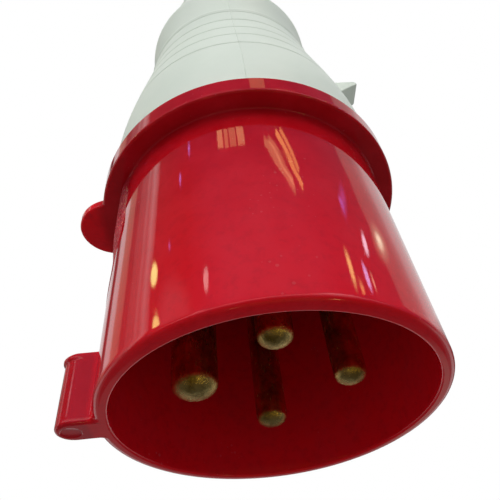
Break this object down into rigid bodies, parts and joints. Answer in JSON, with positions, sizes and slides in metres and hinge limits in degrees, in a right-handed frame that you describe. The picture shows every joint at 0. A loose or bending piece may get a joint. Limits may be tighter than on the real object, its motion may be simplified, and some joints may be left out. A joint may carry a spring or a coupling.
{
  "type": "industrial pin and sleeve plug",
  "caption": "Red pin and sleeve plug with domed brass contacts in a round shroud, a keyed rim, a bayonet rear housing and a cable gland nut.",
  "frame": {"origin": "centre of the mouth of the shroud, in the plane of its rim", "axes": "+Z along the plug from the mouth to the cable, -X to the earth contact and the key, +X to the latch lug"},
  "size_m": [0.0642, 0.0554, 0.1251],
  "materials": {
    "shell_red": "glossy, lightly scuffed",
    "housing_grey": "satin",
    "carrier_grey": "satin",
    "contact_brass": "turned, slightly tarnished",
    "screw_steel": "zinc plated",
    "seal_rubber": "matt",
    "slip_white": "satin"
  },
  "bodies": {
    "front": {"front_shell": "shell_red", "pin_carrier": "carrier_grey", "carrier_back_plate": "carrier_grey", "pin_earth": "contact_brass", "pin_l1": "contact_brass", "pin_l2": "contact_brass", "pin_l3": "contact_brass", "terminal_screw_earth": "screw_steel", "terminal_screw_l1": "screw_steel", "terminal_screw_l2": "screw_steel", "terminal_screw_l3": "screw_steel", "carrier_screw_a": "screw_steel", "carrier_screw_b": "screw_steel", "back_plate_screw": "screw_steel", "spigot_seal": "seal_rubber"},
    "rear": {"rear_housing": "housing_grey", "gland_grommet": "seal_rubber", "clamping_cage": "housing_grey"},
    "slip": {"slip_ring": "slip_white"},
    "nut": {"gland_nut": "housing_grey"}
  },
  "joints": [
    {"name": "housing_twist", "type": "hinge", "parent": "front", "child": "rear", "pos_m": [0, 0, 0.0439], "axis": [0, 0, 1], "range_deg": [0, 30]},
    {"name": "nut_travel", "type": "slide", "parent": "rear", "child": "slip", "axis": [0, 0, 1], "range_m": [0, 0.0045]},
    {"name": "nut_turn", "type": "hinge", "parent": "slip", "child": "nut", "pos_m": [0, 0, 0.1056], "axis": [0, 0, 1], "range_deg": [0, 1080]}
  ],
  "couplings": [
    {"joint": "nut_travel", "follows": "nut_turn", "m_per_rad": 0.00023873}
  ]
}
